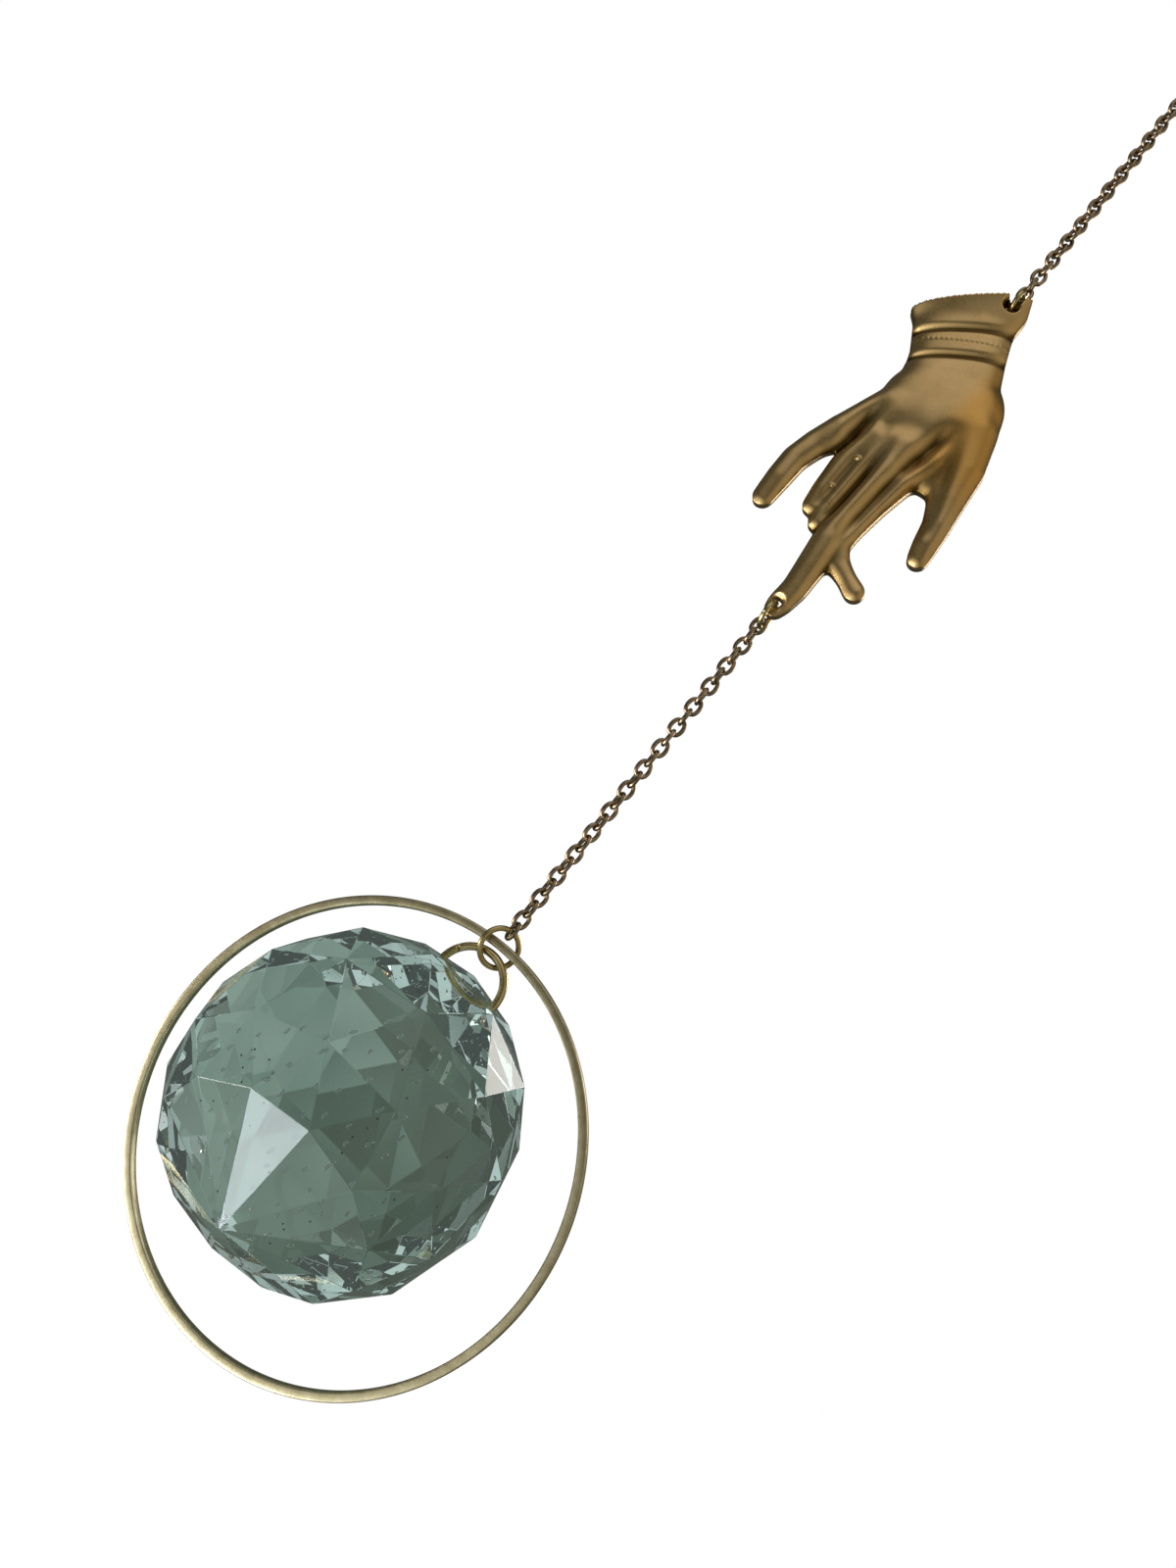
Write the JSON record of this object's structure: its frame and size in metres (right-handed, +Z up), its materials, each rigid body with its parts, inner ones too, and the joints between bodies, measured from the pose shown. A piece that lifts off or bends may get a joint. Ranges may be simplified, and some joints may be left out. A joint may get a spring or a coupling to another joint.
{
  "type": "crystal suncatcher",
  "caption": "Hanging crystal suncatcher: a faceted clear ball in a brass hoop, hung by fine chain from the fingertip of a stamped brass hand.",
  "frame": {"origin": "inside top of the hanging ring, where it bears on its hook", "axes": "+Z up along the plumb line, +X to the viewer's right, -Y towards the front, which is the side the hand's relief faces"},
  "size_m": [0.055, 0.0407, 0.2158],
  "materials": {
    "ring_brass": "polished round wire, lightly aged",
    "chain_brass": "fine cable chain, darker with age",
    "satin_brass": "satin stamped brass with darker hollows",
    "hoop_brass": "satin bar with a blotchy brushed face",
    "crystal": "clear polished facets with a faint grey-green tone"
  },
  "bodies": {
    "root": {"hanging_ring": "ring_brass", "upper_chain": "chain_brass", "cuff_ring": "ring_brass", "hand_charm": "satin_brass", "fingertip_ring": "ring_brass", "lower_chain": "chain_brass", "chain_ring": "ring_brass", "hoop": "hoop_brass", "ball_ring": "ring_brass", "crystal_ball": "crystal"}
  },
  "joints": []
}
